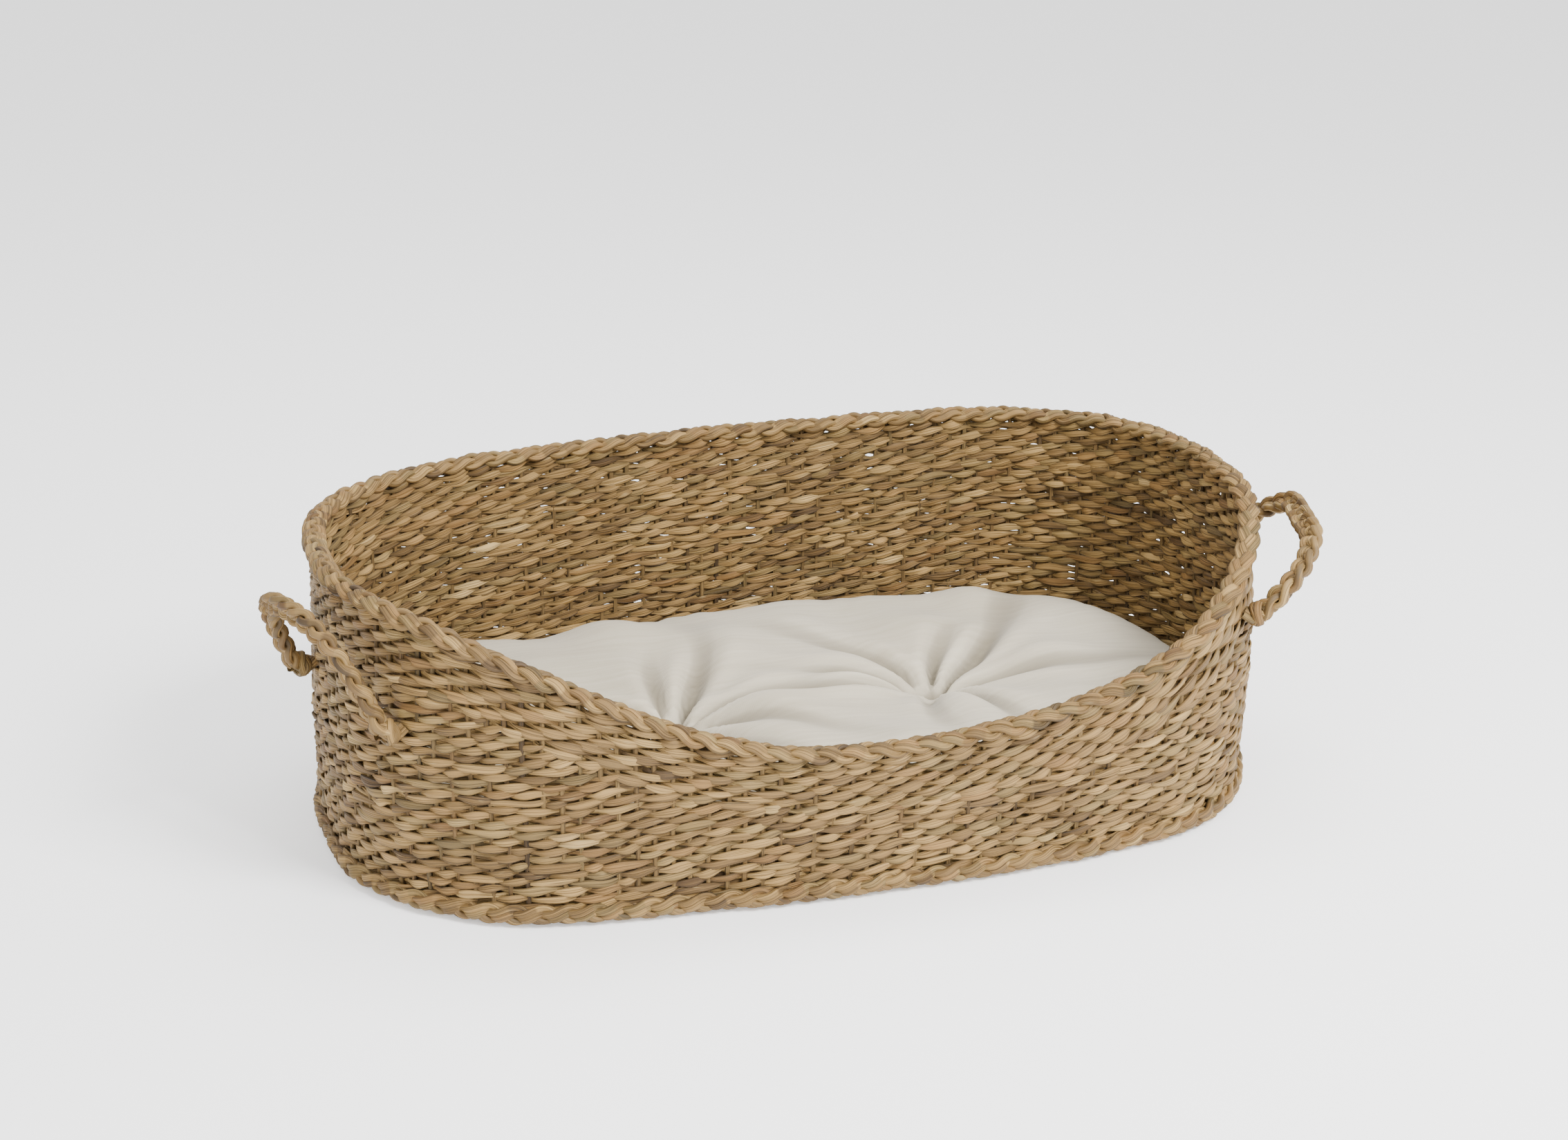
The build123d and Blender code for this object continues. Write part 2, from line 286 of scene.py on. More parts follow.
def ramp(nodes, links, factor, stops):
    """A colour ramp with stops of place and colour."""
    node = nodes.new("ShaderNodeValToRGB")
    items = node.color_ramp.elements
    while len(items) < len(stops):
        items.new(0.5)
    for item, (place, colour) in zip(items, stops):
        item.position = place
        item.color = (*colour, 1)
    links.new(factor, node.inputs[0])
    return node.outputs[0]


def mix(nodes, links, kind, factor, a, b):
    """A colour mix; each operand is a number, a colour or a socket."""
    node = nodes.new("ShaderNodeMix")
    node.data_type = "RGBA"
    node.blend_type = kind
    for socket, value in ((node.inputs[0], factor), (node.inputs[6], a), (node.inputs[7], b)):
        if isinstance(value, (int, float)):
            socket.default_value = value
        elif isinstance(value, tuple):
            socket.default_value = (*value, 1)
        else:
            links.new(value, socket)
    return node.outputs[2]


def grass(name, light=1.0, rough=0.62):
    """Dry seagrass: tone by blade, fibres along it, painted shade at the edges and in the crevices."""
    mat, nodes, links, bsdf = material(name)
    blade = add(nodes, "ShaderNodeAttribute", attribute_name="blade")
    tint = add(nodes, "ShaderNodeAttribute", attribute_name="tint")
    b, t = add(nodes, "ShaderNodeSeparateXYZ"), add(nodes, "ShaderNodeSeparateXYZ")
    links.new(blade.outputs["Vector"], b.inputs[0])
    links.new(tint.outputs["Vector"], t.inputs[0])

    def stretched(u_scale, v_scale, detail):
        place = add(nodes, "ShaderNodeCombineXYZ")
        links.new(math_node(nodes, links, "MULTIPLY", b.outputs[0], u_scale), place.inputs[0])
        links.new(math_node(nodes, links, "MULTIPLY", b.outputs[1], v_scale), place.inputs[1])
        links.new(math_node(nodes, links, "MULTIPLY", b.outputs[2], 91.0), place.inputs[2])
        noise = add(nodes, "ShaderNodeTexNoise", {"Scale": 1.0, "Detail": detail, "Roughness": 0.6})
        links.new(place.outputs[0], noise.inputs["Vector"])
        return noise.outputs["Fac"]

    fibre, streak, patch = stretched(30, 9, 4.0), stretched(14, 2.6, 2.0), stretched(45, 0.8, 2.0)
    tone = math_node(nodes, links, "ADD", t.outputs[0], math_node(nodes, links, "MULTIPLY_ADD", streak, 0.5, -0.25))
    tone = math_node(nodes, links, "ADD", tone, math_node(nodes, links, "MULTIPLY_ADD", fibre, 0.3, -0.15))
    base = ramp(nodes, links, tone, [
        (0.0, (0.060, 0.031, 0.008)),
        (0.26, (0.145, 0.084, 0.027)),
        (0.52, (0.262, 0.160, 0.055)),
        (0.78, (0.380, 0.245, 0.094)),
        (1.0, (0.520, 0.370, 0.175)),
    ])
    off, on = (0, 0, 0), (1, 1, 1)
    green = ramp(nodes, links, t.outputs[1], [(0.0, on), (0.12, on), (0.20, off), (1.0, off)])
    base = mix(nodes, links, "MIX", math_node(nodes, links, "MULTIPLY", green, 0.4), base, (0.200, 0.150, 0.058))
    rust = ramp(nodes, links, t.outputs[1], [(0.0, off), (0.82, off), (0.92, on), (1.0, on)])
    base = mix(nodes, links, "MIX", math_node(nodes, links, "MULTIPLY", rust, 0.35), base, (0.250, 0.125, 0.036))
    pale = ramp(nodes, links, patch, [(0.0, off), (0.66, off), (0.76, on), (1.0, on)])
    base = mix(nodes, links, "MIX", math_node(nodes, links, "MULTIPLY", pale, 0.5), base, (0.42, 0.31, 0.16))
    base = mix(nodes, links, "MULTIPLY", 1.0, base, (1.0, 0.96, 0.83))
    # painted shade in the creases: thin dark lines where the crease bump below cuts grooves
    fold_noise = stretched(5, 1.7, 1.0)
    line = math_node(nodes, links, "ABSOLUTE", math_node(nodes, links, "SUBTRACT", fold_noise, 0.5))
    fold = ramp(nodes, links, line, [(0.0, (0.42, 0.42, 0.42)), (0.035, on)])
    base = mix(nodes, links, "MULTIPLY", 1.0, base, fold)
    # painted shade: each strand is painted darker towards its edges and where it lies deep in the weave (depth)
    edge = math_node(nodes, links, "POWER", math_node(nodes, links, "ABSOLUTE", b.outputs[1]), 4.0)
    dark = math_node(nodes, links, "MULTIPLY_ADD", edge, -0.5, 1.0)
    dark = math_node(nodes, links, "MULTIPLY", dark, math_node(nodes, links, "MULTIPLY_ADD", t.outputs[2], 0.5, 0.5))
    dark = math_node(nodes, links, "MULTIPLY", dark, light)
    shade = add(nodes, "ShaderNodeCombineXYZ")
    for i in range(3):
        links.new(dark, shade.inputs[i])
    links.new(mix(nodes, links, "MULTIPLY", 1.0, base, shade.outputs[0]), bsdf.inputs["Base Color"])
    rough_out = math_node(nodes, links, "MULTIPLY_ADD", fibre, 0.25, rough - 0.12)
    links.new(rough_out, bsdf.inputs["Roughness"])
    bsdf.inputs["Specular IOR Level"].default_value = 0.4
    bump = add(nodes, "ShaderNodeBump", {"Strength": 0.85, "Distance": 0.0009})
    fine = stretched(22, 14, 3.0)
    height = math_node(nodes, links, "ADD", math_node(nodes, links, "MULTIPLY", fine, 0.5), streak)
    crease = ramp(nodes, links, line, [(0.0, off), (0.07, on)])
    height = math_node(nodes, links, "ADD", height, math_node(nodes, links, "MULTIPLY", crease, 0.8))
    links.new(height, bump.inputs["Height"])
    links.new(bump.outputs[0], bsdf.inputs["Normal"])
    return mat


def cotton(name):
    """Unbleached cotton: fine plain weave, faint slubs and flecks."""
    mat, nodes, links, bsdf = material(name)
    place = add(nodes, "ShaderNodeTexCoord")
    slub = add(nodes, "ShaderNodeTexNoise", {"Scale": 60.0, "Detail": 3.0})
    squeeze = add(nodes, "ShaderNodeMapping", {"Scale": (0.25, 4.0, 1.0)})
    links.new(place.outputs["Object"], squeeze.inputs[0])
    links.new(squeeze.outputs[0], slub.inputs["Vector"])
    cloud = add(nodes, "ShaderNodeTexNoise", {"Scale": 7.0, "Detail": 2.0})
    links.new(place.outputs["Object"], cloud.inputs["Vector"])
    base = ramp(nodes, links, slub.outputs["Fac"], [(0.25, (0.43, 0.39, 0.315)), (0.75, (0.50, 0.46, 0.385))])
    base = mix(nodes, links, "MULTIPLY", 0.8, base, ramp(nodes, links, cloud.outputs["Fac"], [
        (0.3, (0.86, 0.84, 0.80)), (0.7, (1, 1, 1))]))
    # painted shade in the fold valleys and painted highlight on the fold ridges, read from the relief attribute
    relief = add(nodes, "ShaderNodeAttribute", attribute_name="relief")
    base = mix(nodes, links, "MULTIPLY", 1.0, base, ramp(nodes, links, relief.outputs["Fac"], [
        (0.0, (0.42, 0.40, 0.35)), (0.35, (0.72, 0.70, 0.65)), (0.5, (0.95, 0.935, 0.88)), (1.0, (1.12, 1.10, 1.04))]))
    fleck = add(nodes, "ShaderNodeTexVoronoi", {"Scale": 90.0})
    links.new(place.outputs["Object"], fleck.inputs["Vector"])
    spots = ramp(nodes, links, fleck.outputs["Distance"], [(0.0, (1, 1, 1)), (0.045, (0, 0, 0))])
    rare = math_node(nodes, links, "GREATER_THAN", fleck.outputs["Color"], 0.82)
    spots = math_node(nodes, links, "MULTIPLY", spots, rare)
    base = mix(nodes, links, "MIX", math_node(nodes, links, "MULTIPLY", spots, 0.45), base, (0.16, 0.10, 0.05))
    links.new(base, bsdf.inputs["Base Color"])
    bsdf.inputs["Roughness"].default_value = 0.88
    bsdf.inputs["Specular IOR Level"].default_value = 0.2
    bsdf.inputs["Sheen Weight"].default_value = 0.15
    waves = []
    for axis in ("X", "Y"):
        thread = {"Scale": 260.0, "Distortion": 1.2, "Detail": 1.0}
        wave = add(nodes, "ShaderNodeTexWave", thread, bands_direction=axis)
        links.new(place.outputs["Object"], wave.inputs["Vector"])
        waves.append(wave.outputs["Fac"])
    weave = math_node(nodes, links, "MAXIMUM", *waves)
    bump = add(nodes, "ShaderNodeBump", {"Strength": 0.25, "Distance": 0.0003})
    links.new(math_node(nodes, links, "ADD", weave, slub.outputs["Fac"]), bump.inputs["Height"])
    links.new(bump.outputs[0], bsdf.inputs["Normal"])
    return mat


GRASS = grass("seagrass")
GRASS_RIM = grass("seagrass_rim", 0.95)
GRASS_ROPE = grass("seagrass_rope", 0.97)
GRASS_DARK = grass("seagrass_stake", 0.62, 0.7)
COTTON = cotton("cotton")

# ---------------------------------------------------------------- woven wall
STEPS = 5  # rings between two stakes
FIRST_LEVEL, ROW_PITCH = 14.0, 6.1
FLOAT_REACH, FLOAT_RISE = 2.9, 1.35  # how far a strand swings in and out, and climbs as it crosses
FLOAT_NECK, FLOAT_SWELL, FLOAT_THICK = 3.5, 3.2, 2.5
BORDER_DEPTH, BAND_PITCH, BAND_ROWS = 17.0, 8.5, 4
RIM_HIGHEST, LOWER_TOP = 236, 70
FINE_STEPS = 16  # points of the rim line between two stakes
FINE = np.arange(STAKES * FINE_STEPS) * PITCH / FINE_STEPS


def below_rim(depth):
    """Height and slope, over s, of the line that lies a depth below the rim."""
    z = rim_height(FINE)
    slope = (np.roll(z, -1) - np.roll(z, 1)) / (2 * PITCH / FINE_STEPS)
    turn = np.arctan(slope)
    s, z = FINE + depth * np.sin(turn), z - depth * np.cos(turn)
    order = np.argsort(s)
    s, z, turn = s[order], z[order], turn[order]
    s = np.concatenate([s - ROUND, s, s + ROUND])
    return s, np.tile(z, 3), np.tile(turn, 3)


def line_below(depth):
    """A function of s that gives the height and slope of that line."""
    s, z, turn = below_rim(depth)
    return lambda q: (np.interp(np.mod(q, ROUND), s, z), np.interp(np.mod(q, ROUND), s, turn))


band_foot = line_below(BORDER_DEPTH + BAND_PITCH * BAND_ROWS)


def weave_rows(first, last):
    """Strands of rows that twist in pairs round every two stakes, each row one stake further on."""
    count = STAKES // 2
    for row in range(first, last):
        level = FIRST_LEVEL + ROW_PITCH * row
        s = np.arange(STAKES * STEPS) * PITCH / STEPS
        mask = level < band_foot(s)[0] + 3.5
        shared = rng.normal(0, 0.45, count)
        for half in (0, 1):
            tone, hue = tones(count)
            drift = np.convolve(np.tile(rng.normal(0, 0.22, count), 3), np.ones(4) / 4, "same")[count : 2 * count]
            tone = np.clip(tone + drift, 0.03, 0.97)
            lift, push = rng.normal(0, 0.4, count), rng.normal(0, 0.4, count)
            size, tilt = rng.normal(1.0, 0.13, count), rng.normal(0, 0.25, count)
            early, slant = rng.normal(0, 0.3, count), rng.normal(FLOAT_RISE, 0.4, count)
            crease = rng.uniform(-0.55, 0.55, count)
            for i, j in runs(mask):
                q = np.arange(i, j + 1) * PITCH / STEPS
                phase = np.pi * (q / PITCH / 2 - 0.5 + half + 0.5 * (row % 2)) + between_knots(shared + early, q)
                phase = phase + 0.35 * np.sin(level / 27 + q / 83) + 0.3 * np.sin(level / 15 - q / 61 + 1)
                swing, turn = np.cos(phase), phase / np.pi
                body = np.abs(swing)
                width = FLOAT_NECK + FLOAT_SWELL * body**1.3 * between_knots(size, q)
                thick = FLOAT_THICK - 0.5 * body
                if j - i < STAKES * STEPS:  # a short row tapers at both ends
                    edge = np.minimum(np.arange(len(q)), np.arange(len(q))[::-1])
                    width = width * np.clip(0.35 + edge / 5, 0, 1)
                    thick = thick * np.clip(0.35 + edge / 5, 0, 1)
                z = level + level_wave(q, level) * min(row / 3, 1) + between_knots(lift, q) * body
                z = z + between_knots(slant, q) * np.sin(phase)
                yield {
                    "line": wall(q, z, FLOAT_REACH * swing + between_knots(push, q) * body),
                    "face": out(q),
                    "width": width,
                    "thick": thick,
                    "tone": each_float(tone, turn),
                    "hue": each_float(hue, turn),
                    "crease": between_knots(crease, q),
                    "twist": between_knots(tilt, q) * body,
                    # painted shade: the strand is painted darker where it passes deep between the stakes
                    "depth": np.clip(0.5 + 0.5 * body, 0, 1),
                    "back": (each_float(tone, turn, 1), each_float(hue, turn, 1)),
                }


def weave_piece(name, first, last):
    batch = Batch()
    for strand in weave_rows(first, last):
        batch.strand(**strand)
    return batch.build(name, GRASS, "basket", "seagrass_weave")


ROWS = int((RIM_HIGHEST - BORDER_DEPTH - BAND_PITCH * BAND_ROWS + 3 - FIRST_LEVEL) / ROW_PITCH) + 1
SPLIT_ROW = int((LOWER_TOP - FIRST_LEVEL) / ROW_PITCH) + 1
lower = weave_piece("wall_weave_lower_a", 0, SPLIT_ROW // 2)
weave_piece("wall_weave_lower_b", SPLIT_ROW // 2, SPLIT_ROW)
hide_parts("wall_weave_lower")
step = (ROWS - SPLIT_ROW) // 5 + 1
for part, start in enumerate(range(SPLIT_ROW, ROWS, step)):
    obj = weave_piece("wall_weave_upper_" + "abcdef"[part], start, min(start + step, ROWS))
    if part == 0:
        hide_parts("wall_weave_upper")


def in_plane(q, z, turn, lift, d):
    """Points a little above or below a sloping line on the wall."""
    return wall(q - lift * np.sin(turn), z + lift * np.cos(turn), d)


def twisted_row(batch, depth, reach, rise, width, thick, light=0.0, shift=0.0):
    """Two strands twisted round each other and round every two stakes, along the rim."""
    q = np.arange(STAKES * 7 + 1) * PITCH / 7
    z, turn = line_below(depth)(q)
    count = STAKES // 2
    for half in (0, 1):
        tone, hue = tones(count)
        tone = np.clip(tone + light, 0.03, 0.97)
        lift, size = rng.normal(0, 0.5, count), rng.normal(1.0, 0.11, count)
        crease, tilt = rng.uniform(-0.5, 0.5, count), rng.normal(0, 0.2, count)
        early = rng.normal(0, 0.35, count)
        phase = np.pi * (q / PITCH / 2 - 0.5 + half + shift) + between_knots(early, q)
        swing, climb = np.cos(phase), np.sin(phase)
        body = np.abs(swing)
        line = in_plane(q, z, turn, rise * climb + between_knots(lift, q), reach * swing)
        grown = between_knots(size, q)
        index = phase / np.pi
        batch.strand(
            line, out(q), (width * (0.43 + 0.57 * body**1.2)) * grown, thick * (1.1 - 0.1 * body),
            each_float(tone, index), each_float(hue, index), 12, between_knots(crease, q),
            between_knots(tilt, q) * body, 0.6 + 0.4 * body,
            back=(each_float(tone, index, 1), each_float(hue, index, 1)))


CORDS = 6  # twisted rows in the band
for row in range(CORDS):
    batch = Batch()
    depth = BORDER_DEPTH - 1 + (BAND_PITCH * BAND_ROWS + 1) * (row + 0.5) / CORDS
    twisted_row(batch, depth, reach=3.1, rise=1.6, width=7.2, thick=2.4, light=0.02, shift=0.5 * (row % 2))
    obj = batch.build(f"rim_band_strands_{row + 1}", GRASS_RIM, "basket", "seagrass_band")
    if row < BAND_ROWS:
        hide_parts(f"rim_row_{row + 1}")


def braid(batch, line, flat, side, period, half_width, half_thick, width, thick, light=0.0, offset=0.0, sides=8):
    """Three strands plaited along line, each of two blades; flat is the way the plait looks, side its width."""
    run = np.concatenate([[0], np.cumsum(np.linalg.norm(np.diff(line, axis=0), axis=1))])
    for k in range(3):
        phase = 2 * np.pi * (run / period + k / 3 + offset)
        count = int(run[-1] / period * 2) + 3
        turnover = np.floor(phase / np.pi + 0.5).astype(int) % count
        near = line + side * (half_width * np.sin(phase))[:, None] + flat * (half_thick * np.sin(2 * phase))[:, None]
        face = flat + side * (0.75 * np.sin(phase))[:, None]
        along = unit(np.gradient(near, axis=0))
        across = unit(np.cross(face, along))
        lift = unit(np.cross(along, across))
        for blade in (-1, 1):
            tone, hue = tones(count)
            size, crease = rng.normal(1.0, 0.10, count), rng.uniform(-0.6, 0.6, count)
            grown = np.convolve(np.pad(size[turnover], 3, "edge"), np.ones(7) / 7, "valid")
            weave = np.sin(phase * 1.5 + blade * 1.3 + k)
            place = near + across * (blade * width * (0.23 + 0.03 * weave))[:, None]
            place = place + lift * (0.35 * weave * blade)[:, None]
            batch.strand(place, face, 0.62 * width * grown, thick * (0.9 + 0.1 * grown),
                         np.clip(tone[turnover] + light, 0.03, 0.95), hue[turnover], sides, crease[turnover],
                         blade * -0.16, 0.9, 0.3)


# top border: a plait over the rim and a twisted row under it
batch = Batch()
q = np.linspace(0, ROUND, STAKES * 8 + 1)
z, turn = line_below(5.2)(q)
wobble = 0.7 * np.sin(2 * np.pi * q / ROUND * 29) + 0.5 * np.sin(2 * np.pi * q / ROUND * 43 + 1)
middle = wall(q, z + wobble * 0.5, 0.4 * wobble)
outward = out(q)
along = unit(np.gradient(middle, axis=0))
upward = unit(np.cross(outward, along) * -1)
upward = upward * np.sign(upward[:, 2:3])
length = np.linalg.norm(np.diff(middle, axis=0), axis=1).sum()
braid(batch, middle, upward, outward, length / 36, 4.6, 2.3, width=9.4, thick=4.6, light=-0.03)
obj = batch.build("rim_border_plait", GRASS_RIM, "basket", "seagrass_border")
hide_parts("rim_border", "rim_core")
batch = Batch()
twisted_row(batch, 12.6, reach=4.6, rise=2.2, width=7.8, thick=3.2, light=-0.01)
batch.build("rim_border_row", GRASS_RIM, "basket", "seagrass_border")

# foot border: a plait round the bottom edge
batch = Batch()
q = np.linspace(0, ROUND, STAKES * 8 + 1)
wobble = 0.6 * np.sin(2 * np.pi * q / ROUND * 31 + 2) + 0.4 * np.sin(2 * np.pi * q / ROUND * 47)
middle = wall(q, 7.6 + 0 * q, 3.4 + wobble * 0.6)
outward = out(q)
tipped = unit(outward * 0.85 + np.array([0, 0, -0.53]))
sideways = unit(outward * 0.53 + np.array([0, 0, 0.85]))
length = np.linalg.norm(np.diff(middle, axis=0), axis=1).sum()
braid(batch, middle, tipped, sideways, length / 34, 4.2, 2.5, width=9.2, thick=4.8)
obj = batch.build("foot_border_plait", GRASS_RIM, "basket", "seagrass_border")
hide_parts("foot_border")

# stakes
sides = {"front": Batch(), "back": Batch(), "left": Batch(), "right": Batch()}
for k in range(STAKES):
    s = (k + 0.5) * PITCH
    x, y, nx, ny = (float(a) for a in plan(np.array(s)))
    if abs(ny) > abs(nx):
        side = "back" if ny > 0 else "front"
    else:
        side = "right" if nx > 0 else "left"
    top = float(rim_height(np.array(s))) - 9
    z = np.linspace(5, top, 14)
    line = wall(s + rng.normal(0, 0.35) + 0.5 * np.sin(z / 25 + k), z, 0.25 * np.sin(z / 18 + 2 * k))
    tone, hue = tones(1)
    sides[side].strand(line, out(s + 0 * z), 3.8, 3.6, float(tone[0]), float(hue[0]), 8, 0.1, 0.0, 0.8, 0.1)
for side, batch in sides.items():
    obj = batch.build(f"stakes_{side}_stalks", GRASS_DARK, "basket", "stake")
    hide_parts(f"stakes_{side}")


# ---------------------------------------------------------------- base mat
def inner_reach(offset, corner_along, corner_across, inset):
    """How far the floor reaches along one axis at an offset along the other."""
    beyond = max(abs(offset) - corner_across, 0.0)
    return corner_along + math.sqrt(max((CORNER_RADIUS - inset) ** 2 - beyond**2, 0.0))


MAT_PITCH, MAT_STAKE, MAT_LEVEL, MAT_REACH = 4.3, 34.0, 5.5, 200
MAT_BLADES = 60
mats = [Batch(), Batch()]
rows = int(MAT_REACH / MAT_PITCH)
for row in range(-rows, rows + 1):
    y = row * MAT_PITCH
    reach = inner_reach(y, CORNER_X, CORNER_Y, 15.5)
    x = np.arange(-reach, reach + 0.1, MAT_STAKE / 8)
    swing = np.cos(np.pi * (x / MAT_STAKE + row))
    body = np.abs(swing)
    tone, hue = tones(MAT_BLADES)
    crease = rng.uniform(-0.5, 0.5, MAT_BLADES)
    near = np.round(x / MAT_STAKE).astype(int) + MAT_BLADES // 2
    lift = 0.4 * np.sin(x / 40 + row)
    line = np.stack([x, y + lift, MAT_LEVEL + 3.1 * np.sign(swing) * body**0.8], -1)
    face = np.tile([0.0, 0, 1], (len(x), 1))
    mats[row > 0].strand(line, face, 4.4 + 4.4 * body, 3.6 - 0.8 * body, tone[near], hue[near], 8, crease[near], 0.0,
                         0.6 + 0.4 * body)
for name, batch in zip(("base_mat_strands_a", "base_mat_strands_b"), mats):
    obj = batch.build(name, GRASS, "basket", "seagrass_weave")
    if name.endswith("_a"):
        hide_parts("base_mat")
ribs = Batch()
for k in range(-10, 11):
    x = k * MAT_STAKE
    if abs(x) > 340:
        continue
    reach = inner_reach(x, CORNER_Y, CORNER_X, 19)
    y = np.linspace(-reach, reach, 12)
    tone, hue = tones(1)
    line = np.stack([x + 0 * y, y, MAT_LEVEL + 0 * y], -1)
    ribs.strand(line, np.tile([0.0, 0, 1], (12, 1)), 4.4, 3.4, float(tone[0]), float(hue[0]), 8, 0.0, 0.0, 0.8, 0.1)
obj = ribs.build("base_rib_stalks", GRASS_DARK, "basket", "stake")
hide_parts("base_ribs_long", "base_ribs_cross")

# ---------------------------------------------------------------- rope handles
STAND_OFF = 13.0
# side: root height, roots along the end wall, rise in degrees, corner and reach of the loop
LOOPS = {-1: (138.0, (-141.0, 8.0), 67.0, 68.0, 77.0), 1: (157.0, (-150.0, 15.0), 45.0, 60.0, 66.0)}


def root_point(side, y):
    """Where a handle's rope enters the outer face of the wall."""
    if abs(y) < END_RADIUS * math.sin(END_TURN):
        reach = HALF_LENGTH - END_RADIUS + math.sqrt(END_RADIUS**2 - y**2)
    else:
        reach = CORNER_X + math.sqrt(CORNER_RADIUS**2 - (abs(y) - CORNER_Y) ** 2)
    return np.array([side * reach, y, LOOPS[side][0]])


def handle(name, side):
    """The free loop of a handle, and its two ends in the wall."""
    _, roots_y, rise, corner, reach = LOOPS[side]
    near, far = (root_point(side, y) for y in roots_y)
    axis = unit(far - near)
    outward = unit(np.cross(axis, [0, 0, side]))
    near, far = near + outward * STAND_OFF, far + outward * STAND_OFF
    rise = math.radians(rise)
    loop = outward * math.cos(rise) + np.array([0, 0, math.sin(rise)])
    span = float(np.linalg.norm(far - near))
    t = np.linspace(0, 1, 12, endpoint=False)
    straight = reach - corner
    u = np.concatenate([t * 0, corner * (1 - np.cos(t * np.pi / 2)), corner + (span - 2 * corner) * t,
                        span - corner + corner * np.sin(t * np.pi / 2), t * 0 + span, [span]])
    v = np.concatenate([straight * t, straight + corner * np.sin(t * np.pi / 2), t * 0 + reach,
                        straight + corner * np.cos(t * np.pi / 2), straight * (1 - t), [0]])
    run = np.concatenate([[0], np.cumsum(np.hypot(np.diff(u), np.diff(v)))])
    q = np.linspace(0, run[-1], 150)
    u, v = np.interp(q, run, u), np.interp(q, run, v)
    line = near + axis * u[:, None] + loop * v[:, None]
    bend = np.sin(np.pi * q / run[-1])
    lift = np.cross(axis, loop)
    line = line + lift * (1.2 * np.sin(q / 31 + side) * bend)[:, None] + loop * (1.0 * np.sin(q / 23) * bend)[:, None]
    along = unit(np.gradient(line, axis=0))
    flat = np.tile(lift, (len(q), 1))
    width_way = unit(np.cross(flat, along))
    batch = Batch()
    braid(batch, line, flat, width_way, 44.0, 4.9, 3.1, width=9.2, thick=5.6, light=0.06, offset=0.1)
    obj = batch.build(f"{name}_plait", GRASS_ROPE, name, "seagrass_rope")
    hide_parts(name)
    # each end goes into the wall and is held by a turn of the same strand
    batch = Batch()
    for pivot in (near, far):
        t = np.linspace(0, 2 * np.pi, 25)
        for tilt, size, shift in ((0.35, 7.4, -3.0), (-0.5, 6.6, -5.5)):
            one = unit(axis * math.cos(tilt) + np.array([0, 0, math.sin(tilt)]))
            two = np.cross(outward, one)
            ring = pivot + outward * shift + one * (size * np.cos(t))[:, None]
            ring = ring + two * (size * 1.15 * np.sin(t))[:, None]
            ring = ring + outward * (1.5 * np.sin(2 * t + tilt))[:, None]
            tone, hue = tones(1)
            face = unit(ring - pivot + outward * 3)
            batch.strand(ring, face, 6.2, 3.6, float(tone[0]), float(hue[0]), 8, 0.2, 0.0, 0.85)
        stub = pivot + outward[None, :] * np.linspace(-14, 3, 12)[:, None]
        flat_stub = np.tile([0.0, 0, 1], (12, 1))
        side_stub = np.tile(axis, (12, 1))
        braid(batch, stub, flat_stub, side_stub, 43.0, 4.0, 2.6, width=7.6, thick=5.0)
    obj = batch.build(f"{name}_roots", GRASS_ROPE, "basket", "seagrass_rope")
    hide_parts(f"{name}_anchors")


handle("handle_left", -1)
handle("handle_right", 1)

# ---------------------------------------------------------------- cushion
TUFTS = ((-95.0, -20.0), (118.0, -10.0))
DIMPLE, HOLLOW = 30, 10  # depths of the tight dimple at a tuft and of the soft hollow round it
CUSHION_INSET, SEAM, CROWN, UNDER = 18.0, 46.0, 36.0, 34.0
TOP_ROUND, UNDER_ROUND = 52, 40  # how far in from the seam the cushion reaches its full height
TOP_RINGS, UNDER_RINGS, CUSHION_AROUND = 84, 34, 480
CUSHION_FLOOR = 11.9  # the cushion lies on the mat at this height
# folds that run out of each tuft: way in degrees, length and depth
LONG_FOLDS = (
    (
        (8, 150, 5.0), (52, 110, 6.0), (97, 90, 4.5), (146, 120, 5.0),
        (-172, 90, 6.5), (-128, 80, 4.0), (-78, 100, 5.0), (-30, 110, 4.0),
    ),
    (
        (-6, 130, 5.0), (31, 150, 6.5), (72, 100, 5.0), (118, 120, 4.5),
        (161, 120, 5.5), (-164, 130, 7.0), (-118, 90, 4.0), (-66, 100, 5.5),
    ),
)
lump_rng = np.random.default_rng(21)


def drawn(count, *ranges):
    """Rows of numbers, each drawn from its own range."""
    return [tuple(lump_rng.uniform(low, high) for low, high in ranges) for _ in range(count)]


LUMPS = drawn(9, (0, np.pi), (60, 150), (0, 6.3), (0.6, 1.5))  # way, span, phase and height
SHORT_FOLDS = [drawn(15, (-180, 180), (22, 48), (1.0, 2.6)) for _ in TUFTS]
PUCKERS = drawn(5, (11, 34), (0, 6.3))  # span and phase of the ripples along the seam


def fold(along, across, length, depth, narrow):
    """A soft valley that starts at a tuft and fades out, with a ridge on each side."""
    wide = narrow + 0.085 * along
    fade = smooth(along / 10) * np.exp(-((along / length) ** 2)) * (along > 0)
    valley = -np.exp(-((across / wide) ** 2))
    ridge = 0.5 * np.exp(-(((np.abs(across) - 1.9 * wide) / (1.1 * wide)) ** 2))
    return depth * fade * (valley + ridge)


